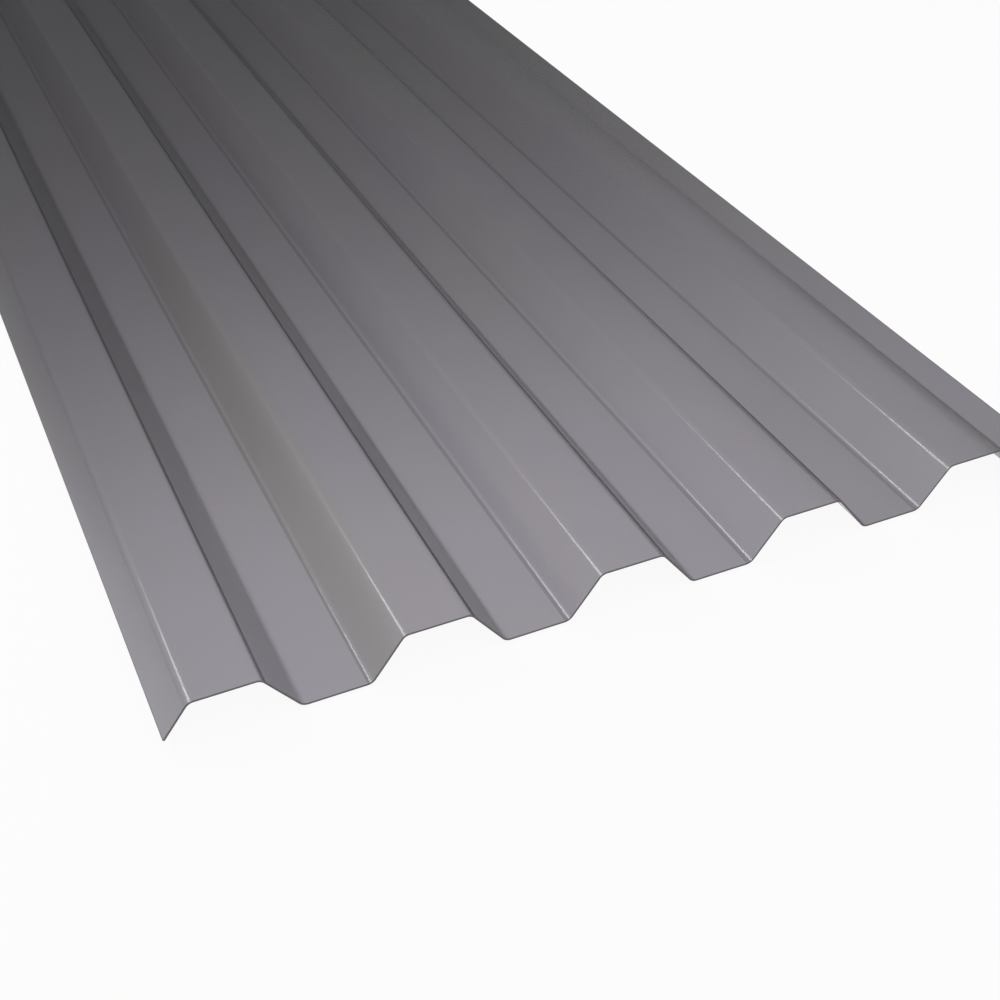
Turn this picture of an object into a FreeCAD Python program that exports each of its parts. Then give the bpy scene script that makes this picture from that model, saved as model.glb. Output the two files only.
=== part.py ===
import FreeCAD, Part
import math
import os

import Sketcher

# Trapezoidal corrugated roofing sheet of solid clear polycarbonate, one piece.
# X runs across the ribs, Y along them, Z up. The sheet lies valleys down: the origin is under the
# middle of the sheet, on the plane its valleys rest on. The left edge is the down-turned lip that
# laps over the next sheet, and the right edge is the part valley that goes under the one beside it.

NODE = "polycarbonate_sheet"

# name, value in mm (rib_count is a plain count), what it is
SIZES = [
    ("sheet_length", 2000.0, "length along the ribs"),
    ("rib_pitch", 76.0, "crest to crest"),
    ("rib_count", 5, "number of crests"),
    ("overall_height", 18.0, "floor to the top of a crest"),
    ("wall_thickness", 0.8, "thickness of the sheet"),
    ("crest_width", 24.6, "inside width of a crest, corner to corner"),
    ("valley_width", 25.4, "underside width of a valley, corner to corner"),
    ("bend_radius", 3.4, "inside radius of every bend"),
    ("lip_drop", 13.1, "how far the left lip comes down below its crest"),
    ("flange_width", 20.5, "underside width of the part valley along the right edge"),
    ("trim_margin", 5.0, "how far the trimming cuts run past the section"),
]

# sizes worked out from those above: name, formula, what it is
DERIVED = [
    ("rise", "=overall_height - wall_thickness", "height of a crest's underside above the floor"),
    ("slope_run", "=(rib_pitch - crest_width - valley_width) / 2", "width a slope covers"),
    ("slope_angle", "=atan(rise / slope_run)", "angle of a slope to the floor, in degrees"),
    ("lip_run", "=lip_drop * slope_run / rise", "width the left lip's underside covers"),
    ("lip_reach", "=lip_run + wall_thickness * sin(slope_angle)", "the same to the lip's outermost corner"),
    ("sheet_width", "=lip_reach + (rib_count - 1) * rib_pitch + crest_width + slope_run + flange_width",
     "overall width"),
    ("first_crest_middle", "=lip_reach + crest_width / 2 - sheet_width / 2",
     "middle of the first crest, from the middle of the sheet"),
]


def fill_sheet(doc):
    """The spreadsheet of named sizes."""
    sheet = doc.addObject("Spreadsheet::Sheet", "Sizes")
    row = 1
    for name, value, note in SIZES + DERIVED:
        sheet.set("A%d" % row, name)
        sheet.set("B%d" % row, str(value))
        sheet.set("C%d" % row, note)
        sheet.setAlias("B%d" % row, name)
        row += 1
    doc.recompute()
    return sheet


def origin_feature(body, role):
    """One of a body's own origin planes or axes."""
    return next(item for item in body.Origin.OriginFeatures if item.Role == role)


def new_sketch(body, name):
    """A sketch on the body's XZ plane: its x is the body's X, and its y is the body's Z."""
    sketch = body.newObject("Sketcher::SketchObject", name)
    sketch.AttachmentSupport = [(origin_feature(body, "XZ_Plane"), "")]
    sketch.MapMode = "FlatFace"
    return sketch


def polygon(sketch, corners):
    """Closed outline through the corners, each line joined to the next."""
    points = [FreeCAD.Vector(x, z, 0) for x, z in corners]
    count = len(points)
    for i in range(count):
        sketch.addGeometry(Part.LineSegment(points[i], points[(i + 1) % count]), False)
    for i in range(count):
        sketch.addConstraint(Sketcher.Constraint("Coincident", i, 2, (i + 1) % count, 1))


def dimension(sketch, kind, args, name, formula):
    """A named dimension that follows a formula of the sheet's sizes."""
    index = sketch.addConstraint(Sketcher.Constraint(kind, *args))
    sketch.renameConstraint(index, name)
    sketch.setExpression("Constraints.%s" % name, formula)


def bend_edges(shape, spots):
    """Names of the edges that run along Y through each (x, z) spot."""
    names = []
    for number, edge in enumerate(shape.Edges, 1):
        box = edge.BoundBox
        if box.YLength < 1.0 or box.XLength > 0.01 or box.ZLength > 0.01:
            continue
        for x, z in spots:
            if abs(box.Center.x - x) < 0.01 and abs(box.Center.z - z) < 0.01:
                names.append("Edge%d" % number)
    if len(names) != len(spots):
        raise RuntimeError("expected %d bend edges, found %d" % (len(spots), len(names)))
    return names


def rib_section(body):
    """Half of one rib, from the middle of its crest to the middle of its valley, bends still sharp."""
    value = dict((name, number) for name, number, note in SIZES)
    wall = value["wall_thickness"]
    rise = value["overall_height"] - wall
    crest = value["crest_width"] / 2
    middle = value["rib_pitch"] / 2
    valley = middle - value["valley_width"] / 2
    shift = wall * math.tan(math.atan2(rise, valley - crest) / 2)
    sketch = new_sketch(body, "RibSection")
    polygon(sketch, [(0, rise), (crest, rise), (valley, 0), (middle, 0),
                     (middle, wall), (valley + shift, wall), (crest + shift, rise + wall), (0, rise + wall)])
    # lines: 0 crest underside, 1 slope underside, 2 valley underside, 3 cut at the valley's middle,
    # 4 valley top, 5 slope top, 6 crest top, 7 cut at the crest's middle
    for line in (0, 2, 4, 6):
        sketch.addConstraint(Sketcher.Constraint("Horizontal", line))
    for line in (3, 7):
        sketch.addConstraint(Sketcher.Constraint("Vertical", line))
    sketch.addConstraint(Sketcher.Constraint("Parallel", 1, 5))
    sketch.addConstraint(Sketcher.Constraint("PointOnObject", 0, 1, -2))
    sketch.addConstraint(Sketcher.Constraint("PointOnObject", 2, 1, -1))
    dimension(sketch, "DistanceY", (-1, 1, 0, 1, rise), "crest_underside", "Sizes.rise")
    dimension(sketch, "DistanceX", (0, 1, 0, 2, crest), "half_crest", "Sizes.crest_width / 2")
    dimension(sketch, "DistanceX", (-1, 1, 2, 2, middle), "half_pitch", "Sizes.rib_pitch / 2")
    dimension(sketch, "DistanceX", (2, 1, 2, 2, middle - valley), "half_valley", "Sizes.valley_width / 2")
    dimension(sketch, "DistanceY", (3, 1, 3, 2, wall), "valley_wall", "Sizes.wall_thickness")
    dimension(sketch, "DistanceY", (0, 1, 7, 1, wall), "crest_wall", "Sizes.wall_thickness")
    dimension(sketch, "Distance", (1, 1, 5, wall), "slope_wall", "Sizes.wall_thickness")
    return sketch


def trim_sketch(body, name, corners):
    """Outline of a trimming cut: each corner has its start place and the formulas of its x and z."""
    sketch = new_sketch(body, name)
    polygon(sketch, [(x, z) for x, z, x_formula, z_formula in corners])
    for i, (x, z, x_formula, z_formula) in enumerate(corners):
        for kind, start, formula in (("DistanceX", x, x_formula), ("DistanceY", z, z_formula)):
            label = "%s_corner_%d" % ("across" if kind == "DistanceX" else "up", i + 1)
            if start < 0:
                dimension(sketch, kind, (i, 1, -1, 1, -start), label, "-(%s)" % formula)
            else:
                dimension(sketch, kind, (-1, 1, i, 1, start), label, formula)
    return sketch


def read(sheet, name):
    """A number from the sheet."""
    value = sheet.get(name)
    return float(getattr(value, "Value", value))


def trim(body, sheet, name, corner_formulas):
    """Cut the profile off along its whole length inside an outline given by its corners' formulas."""
    doc = body.Document
    corners = []
    for x_formula, z_formula in corner_formulas:
        start = []
        for formula in (x_formula, z_formula):
            sheet.set("E1", "=" + formula.replace("Sizes.", ""))
            doc.recompute()
            start.append(float(getattr(sheet.get("E1"), "Value", sheet.get("E1"))))
        corners.append((start[0], start[1], x_formula, z_formula))
    sheet.clear("E1")
    before = body.Shape.Volume
    cut = body.newObject("PartDesign::Pocket", name)
    cut.Profile = trim_sketch(body, name + "Outline", corners)
    cut.SideType = "Symmetric"
    cut.setExpression("Length", "Sizes.sheet_length + 2 * Sizes.trim_margin")
    doc.recompute()
    if not body.Shape.Volume < before:
        raise RuntimeError("%s cuts nothing" % name)
    return cut


def build(doc, sheet):
    """The sheet as one body: half a rib, bent, mirrored, repeated, and trimmed at both edges."""
    body = doc.addObject("PartDesign::Body", "Sheet")
    body.Label = NODE

    pad = body.newObject("PartDesign::Pad", "HalfRib")
    pad.Profile = rib_section(body)
    pad.SideType = "Symmetric"
    pad.setExpression("Length", "Sizes.sheet_length")
    doc.recompute()

    wall, rise = read(sheet, "wall_thickness"), read(sheet, "rise")
    crest = read(sheet, "crest_width") / 2
    valley = crest + read(sheet, "slope_run")
    shift = wall * math.tan(math.radians(read(sheet, "slope_angle")) / 2)

    inside = body.newObject("PartDesign::Fillet", "InsideBends")
    inside.Base = (pad, bend_edges(pad.Shape, [(crest, rise), (valley + shift, wall)]))
    inside.setExpression("Radius", "Sizes.bend_radius")
    doc.recompute()

    outside = body.newObject("PartDesign::Fillet", "OutsideBends")
    outside.Base = (inside, bend_edges(inside.Shape, [(crest + shift, rise + wall), (valley, 0)]))
    outside.setExpression("Radius", "Sizes.bend_radius + Sizes.wall_thickness")
    doc.recompute()

    whole_rib = body.newObject("PartDesign::Mirrored", "WholeRib")
    whole_rib.TransformMode = "Whole shape"
    whole_rib.MirrorPlane = (origin_feature(body, "YZ_Plane"), [""])
    body.Tip = whole_rib
    doc.recompute()

    # one rib more than the sheet has: its near half valley carries the flange
    ribs = body.newObject("PartDesign::LinearPattern", "Ribs")
    ribs.TransformMode = "Whole shape"
    ribs.Mode = "Spacing"
    ribs.Direction = (origin_feature(body, "X_Axis"), [""])
    ribs.setExpression("Offset", "Sizes.rib_pitch")
    ribs.setExpression("Occurrences", "Sizes.rib_count + 1")
    body.Tip = ribs
    doc.recompute()

    # the lip is cut square to its slope
    lip_x = "-(Sizes.crest_width / 2 + Sizes.lip_run)"
    lip_z = "(Sizes.rise - Sizes.lip_drop)"
    out = "(Sizes.wall_thickness + Sizes.trim_margin)"
    far = "-(Sizes.rib_pitch / 2 + Sizes.trim_margin)"
    inner_x = lip_x + " + Sizes.trim_margin * sin(Sizes.slope_angle)"
    upper_z = lip_z + " + " + out + " * cos(Sizes.slope_angle)"
    trim(body, sheet, "LipTrim", [
        (inner_x, lip_z + " - Sizes.trim_margin * cos(Sizes.slope_angle)"),
        (lip_x + " - " + out + " * sin(Sizes.slope_angle)", upper_z),
        (far, upper_z),
        (far, "-Sizes.trim_margin"),
        (inner_x, "-Sizes.trim_margin"),
    ])

    edge = "Sizes.sheet_width / 2 - Sizes.first_crest_middle"
    beyond = "(Sizes.rib_count + 0.5) * Sizes.rib_pitch + Sizes.trim_margin"
    trim(body, sheet, "FlangeTrim", [
        (edge, "-Sizes.trim_margin"),
        (beyond, "-Sizes.trim_margin"),
        (beyond, "Sizes.overall_height + Sizes.trim_margin"),
        (edge, "Sizes.overall_height + Sizes.trim_margin"),
    ])

    body.setExpression("Placement.Base.x", "Sizes.first_crest_middle")
    doc.recompute()
    return body


def check(doc, body):
    """Stop if any object failed, or the sheet isn't one sound solid."""
    for item in doc.Objects:
        if "Invalid" in item.State or "Error" in item.State:
            raise RuntimeError("%s failed: %s" % (item.Name, item.State))
    shape = body.Shape
    if shape.isNull() or not shape.isValid() or len(shape.Solids) != 1:
        raise RuntimeError("the sheet isn't one valid solid")


def main():
    doc = FreeCAD.newDocument("PolycarbonateSheet")
    sheet = fill_sheet(doc)
    body = build(doc, sheet)
    check(doc, body)
    os.makedirs("parts", exist_ok=True)
    body.Shape.exportStep("parts/%s.step" % body.Label)
    box = body.Shape.BoundBox
    print("%s: %.2f x %.2f x %.2f mm, %.1f cm3" % (
        body.Label, box.XLength, box.YLength, box.ZLength, body.Shape.Volume / 1000))


main()
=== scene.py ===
import math

import bpy
from bpy.props import FloatProperty, FloatVectorProperty, IntProperty, PointerProperty
from mathutils import Matrix, Vector, noise


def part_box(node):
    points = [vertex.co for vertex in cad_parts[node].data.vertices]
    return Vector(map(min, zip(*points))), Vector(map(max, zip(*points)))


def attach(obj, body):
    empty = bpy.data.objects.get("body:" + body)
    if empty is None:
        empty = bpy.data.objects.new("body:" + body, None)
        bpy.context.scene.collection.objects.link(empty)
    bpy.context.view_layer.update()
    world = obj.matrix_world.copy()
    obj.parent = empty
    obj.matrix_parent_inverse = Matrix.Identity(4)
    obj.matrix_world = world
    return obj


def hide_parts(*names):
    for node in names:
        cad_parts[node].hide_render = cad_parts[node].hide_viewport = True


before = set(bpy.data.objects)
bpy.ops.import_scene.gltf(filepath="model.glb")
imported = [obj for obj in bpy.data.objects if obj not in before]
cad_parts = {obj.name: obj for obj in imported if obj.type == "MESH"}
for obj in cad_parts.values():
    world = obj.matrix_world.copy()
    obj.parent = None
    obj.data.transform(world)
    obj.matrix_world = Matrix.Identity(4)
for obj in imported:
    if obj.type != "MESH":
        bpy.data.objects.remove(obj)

bl_info = {
    "name": "Trapezoidal polycarbonate sheet",
    "version": (1, 0, 0),
    "blender": (4, 5, 0),
    "location": "View3D > Sidebar > Roofing sheet",
    "description": "Smoke-tinted trapezoidal roofing sheet on its sizes from the CAD model, with a studio",
    "category": "Object",
}

NODE = "polycarbonate_sheet"
SLOT = "smoked_polycarbonate"
CAD_LOW, CAD_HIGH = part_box(NODE)
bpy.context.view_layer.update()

# mesh
EDGE_FADE = 0.004                       # width over which the sideways wander dies out at a side edge
END_ROW = 0.0004                        # gap from a sawn end to its nearest row
FLAT_MARGIN = 0.03                      # share of a flat from its end to its first row

# surface of the plastic
POLYCARBONATE_IOR = 1.585
CLEAR_SHARE = 0.93                      # the rest is a light haze
COOL_CAST, WARM_CAST = (0.97, 0.96, 1.0, 1.0), (0.955, 0.965, 0.885, 1.0)
# painted shade: dark colour mixed into the drawn faces along the right-hand bends of the crests and valleys
PAINTED_CREASE_SHADE_COLOUR = (0.16, 0.14, 0.18, 1.0)
VALLEY_SHADE_SHARE = 0.55               # of the shade on the crests' bends
STREAK_PLACE, STREAK_SIZE = (-0.106, -0.84, 0.009), (0.013, 0.26, 0.03)

# studio
SURROUNDING_LIGHT = 0.6
BACK_WALL_START, BACK_WALL_END = 0.74, 0.92     # share of +Y in a mirrored direction
BACK_WALL_LEVEL = 0.05
FLOOR_REACH, FLOOR_DROP = 12.0, 0.0004
FLOOR_GLOW = 0.93
LAMP_PLACE, LAMP_TARGET = (-0.50, -0.45, 0.60), (-0.08, -1.0, 0.0)
LAMP_SIZE, LAMP_WATTS = (0.34, 0.25), 1.45


# sizes and colours ---------------------------------------------------------------------------

class RoofSheetProfile(bpy.types.PropertyGroup):
    """Section of the sheet and how finely it is drawn. Its length, width and height are the CAD box's."""
    rib_pitch: FloatProperty(name="Rib pitch", description="Crest to crest",
                             default=0.076, unit="LENGTH")
    rib_count: IntProperty(name="Ribs", description="Number of crests", default=5, min=1)
    wall: FloatProperty(name="Wall", description="Thickness of the sheet",
                        default=0.0008, unit="LENGTH")
    crest_width: FloatProperty(name="Crest width", description="Inside width of a crest, corner to corner",
                               default=0.0246, unit="LENGTH")
    valley_width: FloatProperty(name="Valley width", description="Underside width of a valley, corner to corner",
                                default=0.0254, unit="LENGTH")
    bend_radius: FloatProperty(name="Bend radius", description="Inside radius of every bend",
                               default=0.0034, unit="LENGTH")
    lip_drop: FloatProperty(name="Lip drop", description="How far the left lip comes down below its crest",
                            default=0.0131, unit="LENGTH")
    flange_width: FloatProperty(name="Flange width", description="Width of the part valley at the right edge",
                                default=0.0205, unit="LENGTH")
    station_gap: FloatProperty(name="Station gap", description="Spacing of the mesh's rows along the ribs",
                               default=0.0125, unit="LENGTH")
    bend_steps: IntProperty(name="Bend steps", description="Facets round each bend", default=8, min=2)
    flat_steps: IntProperty(name="Flat steps", description="Facets across each flat", default=4, min=1)
    waviness: FloatProperty(name="Waviness", description="How far flats and creases wander from true",
                            default=0.00022, unit="LENGTH")


class RoofSheetFinish(bpy.types.PropertyGroup):
    """Colours and surface of the tinted polycarbonate."""
    tint: FloatVectorProperty(name="Tint", description="Colour that the tint in the plastic leaves",
                              subtype="COLOR", size=3, min=0, max=1, default=(0.168, 0.116, 0.200))
    tint_depth: FloatProperty(name="Tint depth", description="How fast the tint darkens light, per metre",
                              default=1400.0, min=0)
    edge_tint: FloatVectorProperty(name="Sawn edge", description="Colour of the sawn ends and sides",
                                   subtype="COLOR", size=3, min=0, max=1, default=(0.12, 0.112, 0.124))
    gloss_roughness: FloatProperty(name="Gloss roughness", description="Roughness of the clean drawn surface",
                                   default=0.145, min=0, max=1)
    ripple: FloatProperty(name="Ripple", description="Depth of the soft ripple left by drawing the sheet",
                          default=0.35, min=0, max=1)
    crease_shade: FloatProperty(name="Crease shade", description="Depth of the shade along the crests' right bends",
                                default=0.62, min=0, max=1)
    scuffs: FloatProperty(name="Scuffs", description="How much the handling scuffs roughen the surface",
                          default=0.11, min=0, max=1)


class RoofSheetStudio(bpy.types.PropertyGroup):
    """Floor, light and camera."""
    backdrop: FloatVectorProperty(name="Backdrop", description="Colour of floor and background",
                                  subtype="COLOR", size=3, min=0, max=1, default=(1.0, 1.0, 1.0))
    mirrored_room: FloatProperty(name="Mirrored room", description="Brightness of the room that the sheet mirrors",
                                 default=0.46, min=0, max=1)
    pool_place: FloatVectorProperty(name="Pool of light", description="Middle of the light under the sheet",
                                    subtype="TRANSLATION", size=3, default=(-0.08, -1.0, 0.0))
    pool_size: FloatVectorProperty(name="Pool size", description="How far the light under the sheet reaches",
                                   subtype="TRANSLATION", size=3, default=(0.60, 0.36, 1.0))
    pool_rest: FloatProperty(name="Pool rest", description="Share of that light left far from the pool",
                             default=0.07, min=0, max=1)
    focal_length: FloatProperty(name="Focal length", description="Lens, on a 36 mm wide sensor, in mm",
                                default=55.66)
    camera_heading: FloatProperty(name="Camera heading", description="Turn from +Y towards +X",
                                  subtype="ANGLE", default=math.radians(23.345))
    camera_dip: FloatProperty(name="Camera dip", description="Downward tilt of the view",
                              subtype="ANGLE", default=math.radians(37.127))
    camera_roll: FloatProperty(name="Camera roll", description="Roll about the view",
                               subtype="ANGLE", default=math.radians(-1.414))
    camera_place: FloatVectorProperty(name="Camera place", description="Where the camera stands",
                                      subtype="TRANSLATION", size=3, default=(-0.22503, -1.37502, 0.37288))


# section -------------------------------------------------------------------------------------

def corner_line(profile):
    """Sharp corners of the sheet's underside from the lip to the flange, as (x, z), in metres."""
    wall, rise = profile.wall, CAD_HIGH.z - CAD_LOW.z - profile.wall
    run = (profile.rib_pitch - profile.crest_width - profile.valley_width) / 2
    lip_run = profile.lip_drop * run / rise
    lip_reach = lip_run + wall * math.sin(math.atan2(rise, run))
    width = (lip_reach + (profile.rib_count - 1) * profile.rib_pitch + profile.crest_width + run
             + profile.flange_width)
    if abs(width - (CAD_HIGH.x - CAD_LOW.x)) > 0.0005:
        raise RuntimeError("the section is %.4f m wide, and the CAD sheet isn't" % width)
    floor = CAD_LOW.z
    x = CAD_LOW.x + lip_reach
    line = [(x - lip_run, floor + rise - profile.lip_drop)]
    for rib in range(profile.rib_count):
        line += [(x, floor + rise), (x + profile.crest_width, floor + rise),
                 (x + profile.crest_width + run, floor)]
        if rib < profile.rib_count - 1:
            line.append((x + profile.crest_width + run + profile.valley_width, floor))
        x += profile.rib_pitch
    line.append((line[-1][0] + profile.flange_width, floor))
    return [Vector(point) for point in line]


def wall_section(profile):
    """The bent section as matching (underside, top, outward) points from the lip to the flange."""
    corners = corner_line(profile)
    wall, radius = profile.wall, profile.bend_radius
    ways = [(b - a).normalized() for a, b in zip(corners, corners[1:])]
    outward = [Vector((-way.y, way.x)) for way in ways]
    stops = [corners[0]]
    rows = []
    for i in range(1, len(corners) - 1):
        turn = ways[i - 1].angle_signed(ways[i])
        hill = outward[i - 1].dot(ways[i]) < 0
        under = radius if hill else radius + wall
        back = under * math.tan(abs(turn) / 2)
        start = corners[i] - ways[i - 1] * back
        side = 1 if hill else -1
        centre = start - outward[i - 1] * under * side
        add_flat(rows, stops[-1], start, outward[i - 1], wall, profile.flat_steps)
        for step in range(profile.bend_steps + 1):
            out = turned(outward[i - 1], outward[i], step / profile.bend_steps)
            low = centre + out * side * under
            rows.append((low, low + out * wall, out))
        stops.append(corners[i] + ways[i] * back)
    add_flat(rows, stops[-1], corners[-1], outward[-1], wall, profile.flat_steps, last=True)
    return rows


def turned(first, second, share):
    """Unit vector a share of the way round from first to second."""
    angle = first.angle_signed(second) * share
    return Vector((first.x * math.cos(angle) + first.y * math.sin(angle),
                   -first.x * math.sin(angle) + first.y * math.cos(angle)))


def add_flat(rows, start, stop, out, wall, steps, last=False):
    """Points of a flat between two bends, or out to an edge. The bends add their own end points."""
    shares = [FLAT_MARGIN] + [k / steps for k in range(1, steps)] + [1.0 - FLAT_MARGIN]
    if not rows:
        shares = [0.0] + shares
    if last:
        shares = shares + [1.0]
    for share in shares:
        low = start.lerp(stop, share)
        rows.append((low, low + out * wall, out))


def wander(profile, x, y, z):
    """Small departure from true at a place on the sheet: sideways and upward, in metres."""
    place = Vector((x * 14.0, y * 3.2, z * 9.0))
    sideways = noise.noise(place + Vector((7.1, 0.0, 0.0)))
    upward = noise.noise(Vector((x * 22.0, y * 4.6, 3.7)))
    height = (z - CAD_LOW.z) / (CAD_HIGH.z - CAD_LOW.z)
    inward = (0.5 - height) * 2.0
    return profile.waviness * sideways, profile.waviness * (0.55 * inward + 0.45 * upward * abs(inward))


def shift(profile, low, y):
    """How far the wall moves at a place on its underside. The side edges stay on the CAD's."""
    dx, dz = wander(profile, low.x, y, low.y)
    fade = min(1.0, (low.x - CAD_LOW.x) / EDGE_FADE, (CAD_HIGH.x - low.x) / EDGE_FADE)
    return dx * max(fade, 0.0), dz


def stations(profile):
    """Places of the mesh's rows along the ribs, closer together at both sawn ends."""
    low, high = CAD_LOW.y, CAD_HIGH.y
    count = max(2, round((high - low) / profile.station_gap))
    inner = [low + (high - low) * k / count for k in range(1, count)]
    return [low, low + END_ROW] + inner + [high - END_ROW, high]


# sheet ---------------------------------------------------------------------------------------

def sheet_mesh(profile):
    """Closed wall of the sheet. Material slot 0 is its drawn faces, slot 1 its sawn ends and sides."""
    rows = wall_section(profile)
    across = len(rows)
    ring = 2 * across
    verts, faces, slots = [], [], []
    places = stations(profile)
    for y in places:
        shifts = [shift(profile, low, y) for low, high, out in rows]
        verts += [(low.x + dx, y, low.y + dz) for (low, high, out), (dx, dz) in zip(rows, shifts)]
        verts += [(high.x + dx, y, high.y + dz)
                  for (low, high, out), (dx, dz) in zip(reversed(rows), reversed(shifts))]
    for j in range(len(places) - 1):
        for i in range(ring):
            k = (i + 1) % ring
            faces.append((j * ring + i, (j + 1) * ring + i, (j + 1) * ring + k, j * ring + k))
            slots.append(1 if i in (across - 1, ring - 1) else 0)
    last = (len(places) - 1) * ring
    for i in range(across - 1):
        a, b, c, d = i, i + 1, ring - 2 - i, ring - 1 - i
        faces.append((a, b, c, d))
        faces.append((last + a, last + d, last + c, last + b))
        slots += [1, 1]
    mesh = bpy.data.meshes.new("trapezoidal_sheet")
    mesh.from_pydata(verts, [], faces)
    mesh.polygons.foreach_set("material_index", slots)
    mesh.polygons.foreach_set("use_smooth", [True] * len(faces))
    mark_arrises(mesh)
    mesh.validate()
    mesh.update()
    return mesh


def mark_arrises(mesh):
    """Edges between a drawn face and a sawn one stay sharp."""
    kinds = {}
    for polygon in mesh.polygons:
        for key in polygon.edge_keys:
            kinds.setdefault(key, set()).add(polygon.material_index)
    sharp = mesh.attributes.new("sharp_edge", "BOOLEAN", "EDGE")
    values = [len(kinds.get(tuple(sorted(edge.vertices)), ())) > 1 for edge in mesh.edges]
    sharp.data.foreach_set("value", values)


# materials -----------------------------------------------------------------------------------

def socket_in(group, name, default, low=0.0, high=1.0):
    item = group.interface.new_socket(name=name, in_out="INPUT", socket_type="NodeSocketFloat")
    item.default_value, item.min_value, item.max_value = default, low, high
    return item


def link(tree, source, target):
    tree.links.new(source, target)


def math_node(tree, operation, first, second=None, clamp=False):
    node = tree.nodes.new("ShaderNodeMath")
    node.operation, node.use_clamp = operation, clamp
    for index, value in enumerate((first, second)):
        if value is None:
            continue
        if isinstance(value, (int, float)):
            node.inputs[index].default_value = value
        else:
            link(tree, value, node.inputs[index])
    return node.outputs[0]


def ramp(tree, value, start, slope):
    """0 up to the start and then rising, or with a negative slope falling to 0 at the start; 0 to 1."""
    return math_node(tree, "MULTIPLY", math_node(tree, "SUBTRACT", value, start), slope, clamp=True)


def stretched_place(tree, stretch):
    """Position on the object, stretched along the ribs."""
    where = tree.nodes.new("ShaderNodeTexCoord")
    mapping = tree.nodes.new("ShaderNodeMapping")
    mapping.inputs["Scale"].default_value = stretch
    link(tree, where.outputs["Object"], mapping.inputs["Vector"])
    return mapping.outputs["Vector"]


def noise_node(tree, place, scale, detail=2.0, rough=0.5):
    node = tree.nodes.new("ShaderNodeTexNoise")
    link(tree, place, node.inputs["Vector"])
    if isinstance(scale, (int, float)):
        node.inputs["Scale"].default_value = scale
    else:
        link(tree, scale, node.inputs["Scale"])
    node.inputs["Detail"].default_value = detail
    node.inputs["Roughness"].default_value = rough
    return node.outputs["Fac"]


def drawn_ripple_group():
    """Height of the soft ripple and draw lines that the die leaves along the ribs."""
    group = bpy.data.node_groups.new("Drawn ripple", "ShaderNodeTree")
    socket_in(group, "Ripple scale", 30.0, 0.0, 1000.0)
    socket_in(group, "Draw lines", 0.2)
    group.interface.new_socket(name="Height", in_out="OUTPUT", socket_type="NodeSocketFloat")
    given, result = group.nodes.new("NodeGroupInput"), group.nodes.new("NodeGroupOutput")
    soft = noise_node(group, stretched_place(group, (1.0, 0.35, 1.0)), given.outputs["Ripple scale"], 2.0)
    lines = noise_node(group, stretched_place(group, (1.0, 0.012, 1.0)), 420.0, 1.0)
    weighted = math_node(group, "MULTIPLY", lines, given.outputs["Draw lines"])
    link(group, math_node(group, "ADD", soft, weighted), result.inputs["Height"])
    return group


def handling_marks_group():
    """Mask of light scuffs and dull patches from handling and stacking."""
    group = bpy.data.node_groups.new("Handling marks", "ShaderNodeTree")
    socket_in(group, "Patch scale", 18.0, 0.0, 1000.0)
    socket_in(group, "Fine share", 0.4)
    group.interface.new_socket(name="Mask", in_out="OUTPUT", socket_type="NodeSocketFloat")
    given, result = group.nodes.new("NodeGroupInput"), group.nodes.new("NodeGroupOutput")
    place = stretched_place(group, (1.0, 0.6, 1.0))
    patches = noise_node(group, place, given.outputs["Patch scale"], 4.0, 0.6)
    fine = noise_node(group, stretched_place(group, (1.0, 0.5, 1.0)), 260.0, 2.0, 0.5)
    spread = ramp(group, patches, 0.38, 2.0)
    speckle = math_node(group, "MULTIPLY", fine, given.outputs["Fine share"])
    strength = math_node(group, "ADD", speckle, 0.6)
    link(group, math_node(group, "MULTIPLY", spread, strength, clamp=True), result.inputs["Mask"])
    return group


def colour_drift_group():
    """Slow drift of the colour between a cool and a warm cast, and one warm streak along a rib."""
    group = bpy.data.node_groups.new("Colour drift", "ShaderNodeTree")
    socket_in(group, "Drift scale", 8.0, 0.0, 1000.0)
    socket_in(group, "Streak", 0.0)
    for name, default in (("Cool", COOL_CAST), ("Warm", WARM_CAST)):
        item = group.interface.new_socket(name=name, in_out="INPUT", socket_type="NodeSocketColor")
        item.default_value = default
    group.interface.new_socket(name="Colour", in_out="OUTPUT", socket_type="NodeSocketColor")
    given, result = group.nodes.new("NodeGroupInput"), group.nodes.new("NodeGroupOutput")
    place = stretched_place(group, (1.0, 0.4, 1.0))
    drift = noise_node(group, place, given.outputs["Drift scale"], 3.0, 0.55)
    share = ramp(group, drift, 0.35, 1.3)
    streak = group.nodes.new("ShaderNodeMapping")
    streak.vector_type = "TEXTURE"
    streak.inputs["Location"].default_value = STREAK_PLACE
    streak.inputs["Scale"].default_value = STREAK_SIZE
    link(group, stretched_place(group, (1.0, 1.0, 1.0)), streak.inputs["Vector"])
    reach = group.nodes.new("ShaderNodeVectorMath")
    reach.operation = "LENGTH"
    link(group, streak.outputs["Vector"], reach.inputs[0])
    near = ramp(group, reach.outputs["Value"], 1.0, -1.6)
    share = math_node(group, "ADD", share, math_node(group, "MULTIPLY", near, given.outputs["Streak"]))
    mix = group.nodes.new("ShaderNodeMix")
    mix.clamp_factor = True
    mix.data_type = "RGBA"
    link(group, share, mix.inputs["Factor"])
    link(group, given.outputs["Cool"], mix.inputs["A"])
    link(group, given.outputs["Warm"], mix.inputs["B"])
    link(group, mix.outputs["Result"], result.inputs["Colour"])
    return group


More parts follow.
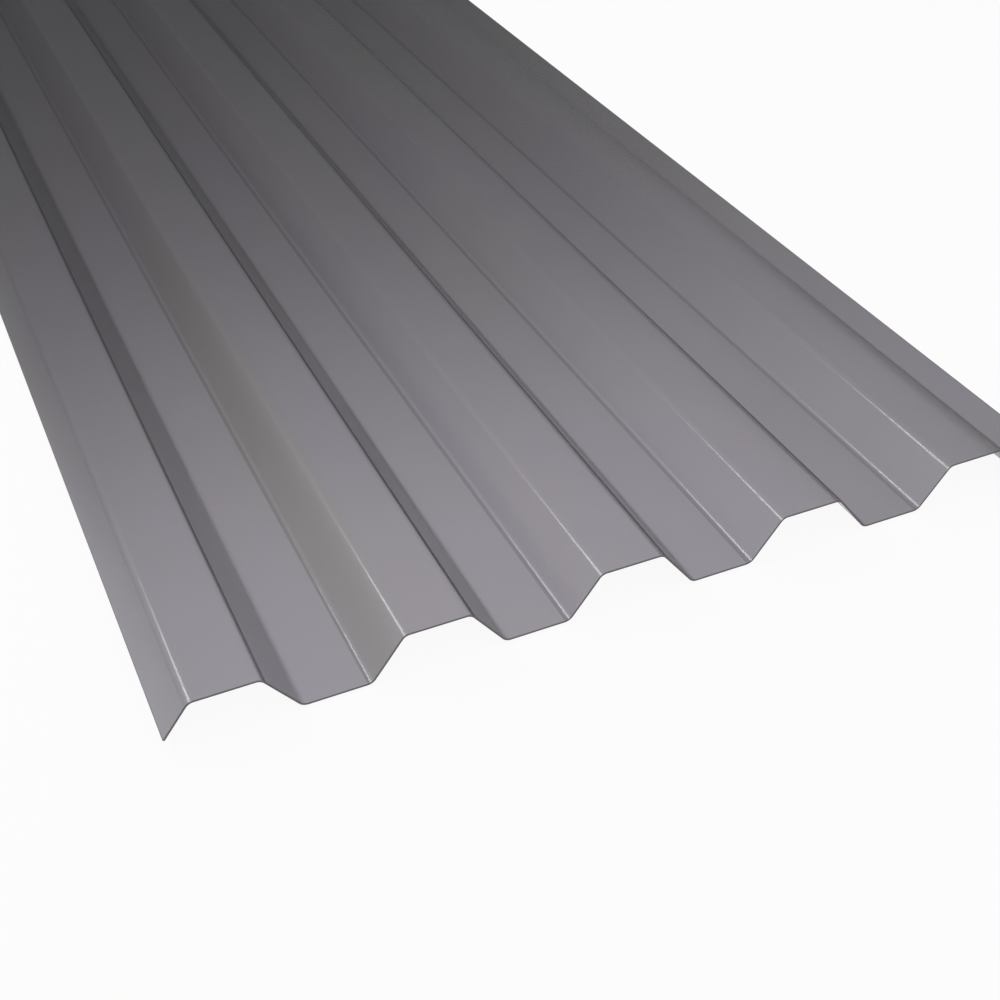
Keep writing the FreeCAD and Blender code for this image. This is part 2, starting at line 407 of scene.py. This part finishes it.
def crease_shade_group():
    """Mask of the shade painted into the colour along the right-hand bends of the crests and of the valleys, told
    apart by how far the surface leans and how high it is."""
    group = bpy.data.node_groups.new("Crease shade", "ShaderNodeTree")
    socket_in(group, "Crest depth", 0.6)
    socket_in(group, "Valley depth", 0.3)
    group.interface.new_socket(name="Mask", in_out="OUTPUT", socket_type="NodeSocketFloat")
    given, result = group.nodes.new("NodeGroupInput"), group.nodes.new("NodeGroupOutput")
    where = group.nodes.new("ShaderNodeTexCoord")
    lean, level = group.nodes.new("ShaderNodeSeparateXYZ"), group.nodes.new("ShaderNodeSeparateXYZ")
    link(group, where.outputs["Normal"], lean.inputs[0])
    link(group, where.outputs["Object"], level.inputs[0])
    lean, level = lean.outputs["X"], level.outputs["Z"]
    crest = math_node(group, "MULTIPLY", ramp(group, lean, 0.42, 7.0), ramp(group, lean, 0.792, -40.0))
    crest = math_node(group, "MULTIPLY", crest, ramp(group, level, 0.010, 400.0))
    valley = math_node(group, "MULTIPLY", ramp(group, lean, -0.03, -12.0), ramp(group, lean, -0.62, 4.0))
    valley = math_node(group, "MULTIPLY", valley, ramp(group, level, 0.006, -800.0))
    link(group, math_node(group, "ADD", math_node(group, "MULTIPLY", crest, given.outputs["Crest depth"]),
                          math_node(group, "MULTIPLY", valley, given.outputs["Valley depth"])),
         result.inputs["Mask"])
    return group


def place_group(tree, group, **values):
    node = tree.nodes.new("ShaderNodeGroup")
    node.node_tree = group
    for name, value in values.items():
        node.inputs[name.replace("_", " ")].default_value = value
    return node


def add_bump(tree, height, strength, distance):
    """Relief from a placed ripple group on the tree's shader."""
    bump = tree.nodes.new("ShaderNodeBump")
    bump.inputs["Strength"].default_value = strength
    bump.inputs["Distance"].default_value = distance
    link(tree, height.outputs["Height"], bump.inputs["Height"])
    link(tree, bump.outputs["Normal"], tree.nodes["Principled BSDF"].inputs["Normal"])


def add_scuffs(tree, scuffs, gain, base):
    """Roughness from a placed marks group on the tree's shader: the base, and more where it is scuffed."""
    extra = math_node(tree, "MULTIPLY", scuffs.outputs["Mask"], gain)
    link(tree, math_node(tree, "ADD", extra, base), tree.nodes["Principled BSDF"].inputs["Roughness"])


def drawn_face_material(finish, ripple, marks, drift, crease):
    """Clear gloss of the drawn faces: tinted, see-through, softly rippled and lightly scuffed, with painted shade
    along the right-hand bends.
    """
    material = bpy.data.materials.new(SLOT)
    material.use_nodes = True
    tree = material.node_tree
    shader = tree.nodes["Principled BSDF"]
    shader.inputs["Transmission Weight"].default_value = CLEAR_SHARE
    shader.inputs["Metallic"].default_value = 0.0
    shader.inputs["IOR"].default_value = POLYCARBONATE_IOR
    cast = place_group(tree, drift, Drift_scale=13.0, Streak=1.0)
    shade = place_group(tree, crease, Crest_depth=finish.crease_shade,
                        Valley_depth=VALLEY_SHADE_SHARE * finish.crease_shade)
    # painted shade: the crease mask darkens the base colour along the right-hand bends
    mix = tree.nodes.new("ShaderNodeMix")
    mix.data_type = "RGBA"
    link(tree, shade.outputs["Mask"], mix.inputs["Factor"])
    link(tree, cast.outputs["Colour"], mix.inputs["A"])
    mix.inputs["B"].default_value = PAINTED_CREASE_SHADE_COLOUR
    link(tree, mix.outputs["Result"], shader.inputs["Base Color"])
    body_tint = tree.nodes.new("ShaderNodeVolumeAbsorption")
    body_tint.inputs["Color"].default_value = (*finish.tint, 1.0)
    body_tint.inputs["Density"].default_value = finish.tint_depth
    link(tree, body_tint.outputs[0], tree.nodes["Material Output"].inputs["Volume"])
    height = place_group(tree, ripple, Ripple_scale=26.0, Draw_lines=0.06)
    add_bump(tree, height, finish.ripple, 0.0012)
    scuffs = place_group(tree, marks, Patch_scale=16.0, Fine_share=0.15)
    add_scuffs(tree, scuffs, finish.scuffs, finish.gloss_roughness)
    return material


def sawn_edge_material(finish, ripple, marks, drift):
    """Dull, dark sawn ends and sides."""
    material = bpy.data.materials.new("sawn_polycarbonate_edge")
    material.use_nodes = True
    tree = material.node_tree
    shader = tree.nodes["Principled BSDF"]
    shader.inputs["IOR"].default_value = POLYCARBONATE_IOR
    cast = place_group(tree, drift, Drift_scale=90.0, Cool=(*finish.edge_tint, 1.0),
                       Warm=(*(1.5 * part for part in finish.edge_tint), 1.0))
    link(tree, cast.outputs["Colour"], shader.inputs["Base Color"])
    height = place_group(tree, ripple, Ripple_scale=240.0, Draw_lines=0.5)
    add_bump(tree, height, 0.5, 0.0003)
    scuffs = place_group(tree, marks, Patch_scale=120.0, Fine_share=0.8)
    add_scuffs(tree, scuffs, 0.3, 0.35)
    return material


# studio --------------------------------------------------------------------------------------

def background_share(tree, mirrored):
    """1 for what the camera sees, directly or through the sheet, and a share of it for what the sheet
    mirrors; 0 for the light on things."""
    path = tree.nodes.new("ShaderNodeLightPath")
    seen = math_node(tree, "MAXIMUM", path.outputs["Is Camera Ray"], path.outputs["Is Transmission Ray"])
    reflected = math_node(tree, "MULTIPLY", path.outputs["Is Glossy Ray"], mirrored)
    return math_node(tree, "MAXIMUM", seen, reflected)


def pool_of_light(tree, studio):
    """How bright the floor's glow is under the sheet, a painted pool of light: 1 near the sawn end, where the lamp
    aims, falling away.
    """
    path = tree.nodes.new("ShaderNodeLightPath")
    where = tree.nodes.new("ShaderNodeTexCoord")
    offset = tree.nodes.new("ShaderNodeVectorMath")
    offset.operation = "SUBTRACT"
    link(tree, where.outputs["Object"], offset.inputs[0])
    offset.inputs[1].default_value = studio.pool_place
    spread = tree.nodes.new("ShaderNodeVectorMath")
    spread.operation = "DIVIDE"
    link(tree, offset.outputs[0], spread.inputs[0])
    spread.inputs[1].default_value = studio.pool_size
    length = tree.nodes.new("ShaderNodeVectorMath")
    length.operation = "DOT_PRODUCT"
    link(tree, spread.outputs[0], length.inputs[0])
    link(tree, spread.outputs[0], length.inputs[1])
    fall = math_node(tree, "POWER", math_node(tree, "ADD", length.outputs["Value"], 1.0), -2.0)
    lit = math_node(tree, "MULTIPLY", fall, 1.0 - studio.pool_rest)
    lit = math_node(tree, "ADD", lit, studio.pool_rest)
    return math_node(tree, "MAXIMUM", lit, path.outputs["Is Camera Ray"])


def floor_material(studio):
    """Pale matt floor that looks like the backdrop and keeps the sheet's shadow; seen through the sheet or mirrored
    in it, its glow is a painted pool of light.
    """
    material = bpy.data.materials.new("studio_floor")
    material.use_nodes = True
    tree = material.node_tree
    shader, output = tree.nodes["Principled BSDF"], tree.nodes["Material Output"]
    shader.inputs["Base Color"].default_value = (0.95, 0.95, 0.95, 1.0)
    shader.inputs["Roughness"].default_value = 0.9
    glow = tree.nodes.new("ShaderNodeEmission")
    glow.inputs["Color"].default_value = (*studio.backdrop, 1.0)
    # painted pool of light: the glow seen through the sheet is brightest near the sawn end and falls away
    link(tree, pool_of_light(tree, studio), glow.inputs["Strength"])
    mix = tree.nodes.new("ShaderNodeMixShader")
    link(tree, math_node(tree, "MULTIPLY", background_share(tree, 1.0), FLOOR_GLOW), mix.inputs["Fac"])
    link(tree, shader.outputs[0], mix.inputs[1])
    link(tree, glow.outputs[0], mix.inputs[2])
    link(tree, mix.outputs[0], output.inputs["Surface"])
    return material


def build_world(studio):
    """Pale surroundings: white where the camera sees them, dimmer where the sheet mirrors them, and
    dimmest towards the back."""
    world = bpy.data.worlds.new("studio_surroundings")
    bpy.context.scene.world = world
    world.use_nodes = True
    tree = world.node_tree
    background = tree.nodes["Background"]
    background.inputs["Color"].default_value = (*studio.backdrop, 1.0)
    path = tree.nodes.new("ShaderNodeLightPath")
    plain = math_node(tree, "MULTIPLY", background_share(tree, 0.0), 1.0 - SURROUNDING_LIGHT)
    lit = math_node(tree, "ADD", plain, SURROUNDING_LIGHT)
    where, parts = tree.nodes.new("ShaderNodeTexCoord"), tree.nodes.new("ShaderNodeSeparateXYZ")
    link(tree, where.outputs["Generated"], parts.inputs[0])
    back_wall = tree.nodes.new("ShaderNodeMapRange")
    link(tree, parts.outputs["Y"], back_wall.inputs["Value"])
    for name, value in (("From Min", BACK_WALL_START), ("From Max", BACK_WALL_END),
                        ("To Min", SURROUNDING_LIGHT - studio.mirrored_room),
                        ("To Max", SURROUNDING_LIGHT - BACK_WALL_LEVEL)):
        back_wall.inputs[name].default_value = value
    dimmed = math_node(tree, "MULTIPLY", path.outputs["Is Glossy Ray"], back_wall.outputs["Result"])
    link(tree, math_node(tree, "SUBTRACT", lit, dimmed), background.inputs["Strength"])
    return world


def add_lamp(name, place, target, size, watts):
    data = bpy.data.lights.new(name, "AREA")
    data.shape, data.size, data.size_y, data.energy = "RECTANGLE", size[0], size[1], watts
    lamp = bpy.data.objects.new(name, data)
    bpy.context.scene.collection.objects.link(lamp)
    lamp.location = place
    lamp.visible_camera = False
    lamp.rotation_euler = (Vector(target) - Vector(place)).to_track_quat("-Z", "Y").to_euler()
    return lamp


def add_camera(studio):
    data = bpy.data.cameras.new("studio_camera")
    data.lens, data.sensor_width = studio.focal_length, 36.0
    data.clip_start, data.clip_end = 0.02, 50.0
    camera = bpy.data.objects.new("studio_camera", data)
    bpy.context.scene.collection.objects.link(camera)
    turn = (Matrix.Rotation(-studio.camera_heading, 3, "Z")
            @ Matrix.Rotation(math.pi / 2 - studio.camera_dip, 3, "X")
            @ Matrix.Rotation(studio.camera_roll, 3, "Z"))
    camera.rotation_euler = turn.to_euler()
    camera.location = studio.camera_place
    bpy.context.scene.camera = camera
    return camera


# operators -----------------------------------------------------------------------------------

class ROOFSHEET_OT_sheet(bpy.types.Operator):
    """Builds the ribbed sheet and its materials in place of the CAD sheet"""
    bl_idname = "roofsheet.sheet"
    bl_label = "Ribbed sheet"

    def execute(self, context):
        profile, finish = context.scene.roof_sheet_profile, context.scene.roof_sheet_finish
        sheet = bpy.data.objects.new("trapezoidal_sheet", sheet_mesh(profile))
        context.scene.collection.objects.link(sheet)
        groups = (drawn_ripple_group(), handling_marks_group(), colour_drift_group())
        sheet.data.materials.append(drawn_face_material(finish, *groups, crease_shade_group()))
        sheet.data.materials.append(sawn_edge_material(finish, *groups))
        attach(sheet, "root")
        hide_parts(NODE)
        return {"FINISHED"}


class ROOFSHEET_OT_studio(bpy.types.Operator):
    """Builds the pale floor, the surroundings, the lamp and the camera"""
    bl_idname = "roofsheet.studio"
    bl_label = "Studio"

    def execute(self, context):
        studio = context.scene.roof_sheet_studio
        mesh = bpy.data.meshes.new("studio_floor")
        corners = [(x * FLOOR_REACH, y * FLOOR_REACH, -FLOOR_DROP)
                   for x, y in ((-1, -1), (1, -1), (1, 1), (-1, 1))]
        mesh.from_pydata(corners, [], [(0, 1, 2, 3)])
        floor = bpy.data.objects.new("studio_floor", mesh)
        context.scene.collection.objects.link(floor)
        mesh.materials.append(floor_material(studio))
        build_world(studio)
        add_lamp("back_strip", LAMP_PLACE, LAMP_TARGET, LAMP_SIZE, LAMP_WATTS)
        add_camera(studio)
        context.scene.view_settings.view_transform = "Standard"
        return {"FINISHED"}


class ROOFSHEET_PT_panel(bpy.types.Panel):
    """Sizes, colours and building steps of the roofing sheet"""
    bl_label = "Roofing sheet"
    bl_idname = "ROOFSHEET_PT_panel"
    bl_space_type = "VIEW_3D"
    bl_region_type = "UI"
    bl_category = "Roofing sheet"

    def draw(self, context):
        layout, scene = self.layout, context.scene
        for title, group, operator in (
                ("Profile", scene.roof_sheet_profile, None),
                ("Finish", scene.roof_sheet_finish, "roofsheet.sheet"),
                ("Studio", scene.roof_sheet_studio, "roofsheet.studio")):
            box = layout.box()
            box.label(text=title)
            for name in group.bl_rna.properties.keys():
                if name not in ("rna_type", "name"):
                    box.prop(group, name)
            if operator:
                box.operator(operator)


CLASSES = (RoofSheetProfile, RoofSheetFinish, RoofSheetStudio,
           ROOFSHEET_OT_sheet, ROOFSHEET_OT_studio, ROOFSHEET_PT_panel)


def register():
    for cls in CLASSES:
        bpy.utils.register_class(cls)
    bpy.types.Scene.roof_sheet_profile = PointerProperty(type=RoofSheetProfile)
    bpy.types.Scene.roof_sheet_finish = PointerProperty(type=RoofSheetFinish)
    bpy.types.Scene.roof_sheet_studio = PointerProperty(type=RoofSheetStudio)


def unregister():
    del bpy.types.Scene.roof_sheet_studio
    del bpy.types.Scene.roof_sheet_finish
    del bpy.types.Scene.roof_sheet_profile
    for cls in reversed(CLASSES):
        bpy.utils.unregister_class(cls)


def main():
    register()
    bpy.ops.roofsheet.sheet()
    bpy.ops.roofsheet.studio()


if __name__ == "__main__":
    main()
